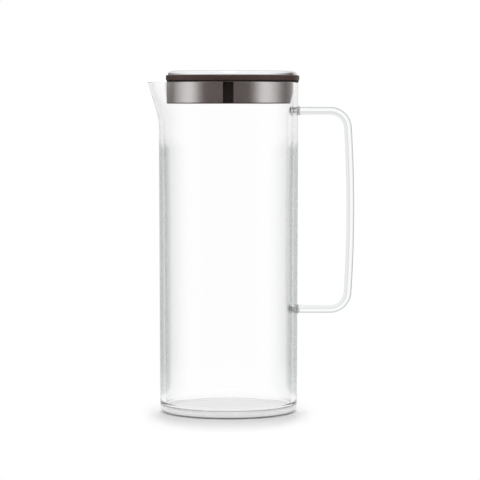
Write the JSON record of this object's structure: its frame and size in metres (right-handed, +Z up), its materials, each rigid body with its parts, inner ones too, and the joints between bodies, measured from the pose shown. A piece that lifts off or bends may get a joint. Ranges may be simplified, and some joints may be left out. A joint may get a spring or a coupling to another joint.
{
  "type": "carafe with lid",
  "caption": "Tall clear plastic carafe with a pouring spout, a bowed clear rod handle and a dark lift-off plug lid with steel trim.",
  "frame": {"origin": "middle of the underside, on the axis of the body", "axes": "+Z up along the body's axis, -X towards the spout, +X towards the handle"},
  "size_m": [0.1421, 0.0962, 0.2319],
  "materials": {
    "clear_plastic": "clear, polished mould",
    "clear_silicone": "translucent silicone",
    "dark_silicone": "matte silicone",
    "brown_plastic": "satin moulded",
    "polished_steel": "polished stainless",
    "band_steel": "brushed stainless, warm grey"
  },
  "bodies": {
    "carafe": {"carafe_body": "clear_plastic", "handle": "clear_plastic", "upper_handle_nut": "clear_plastic", "lower_handle_nut": "clear_plastic", "upper_handle_washer": "clear_silicone", "lower_handle_washer": "clear_silicone"},
    "gasket": {"rim_gasket": "dark_silicone"},
    "lid": {"lid_core": "brown_plastic", "lid_cover": "polished_steel", "spout_side_band": "band_steel", "handle_side_band": "band_steel", "front_grip_pad": "dark_silicone", "rear_grip_pad": "dark_silicone"}
  },
  "joints": [
    {"name": "lid_lift", "type": "slide", "parent": "carafe", "child": "gasket", "axis": [0, 0, 1], "range_m": [0, 0.06]},
    {"name": "lid_turn", "type": "hinge", "parent": "gasket", "child": "lid", "pos_m": [0, 0, 0.2249], "axis": [0, 0, 1], "continuous": true}
  ]
}
